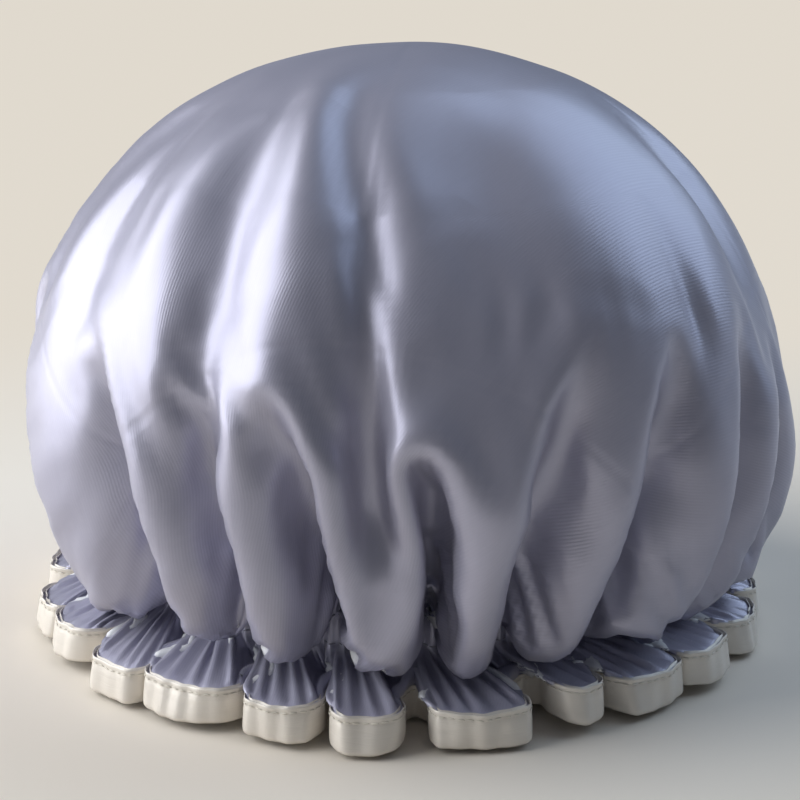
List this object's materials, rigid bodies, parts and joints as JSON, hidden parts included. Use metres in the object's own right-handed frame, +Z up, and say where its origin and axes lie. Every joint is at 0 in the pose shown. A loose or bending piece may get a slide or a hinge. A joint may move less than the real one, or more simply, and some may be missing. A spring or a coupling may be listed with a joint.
{
  "type": "shower cap",
  "caption": "Puffed satin shower cap with a waterproof lining, an elastic in a stitched casing and a gathered, bound ruffle.",
  "frame": {"origin": "on the table under the middle of the crown, in the plane on which the bound edge stands", "axes": "+Z up through the top of the crown, -Y towards the viewer, +X to the viewer's right"},
  "size_m": [0.2335, 0.2332, 0.1766],
  "materials": {
    "satin": "glossy polyester satin with a fine diagonal twill, lavender grey",
    "lining_film": "soft milky waterproof film",
    "binding_satin": "ivory satin bias binding",
    "ivory_thread": "spun polyester sewing thread",
    "grey_thread": "spun polyester sewing thread",
    "elastic": "braided white elastic"
  },
  "bodies": {
    "sewn_cap": {"satin_shell": "satin", "waterproof_lining": "lining_film", "edge_binding": "binding_satin", "binding_topstitch": "ivory_thread", "casing_upper_stitch": "grey_thread", "casing_lower_stitch": "grey_thread"},
    "elastic_ring": {"elastic_band": "elastic", "elastic_join_stitch": "ivory_thread"}
  },
  "joints": [
    {"name": "elastic_slip", "type": "hinge", "parent": "sewn_cap", "child": "elastic_ring", "pos_m": [0, 0, 0.02375], "axis": [0, 0, 1], "continuous": true}
  ]
}
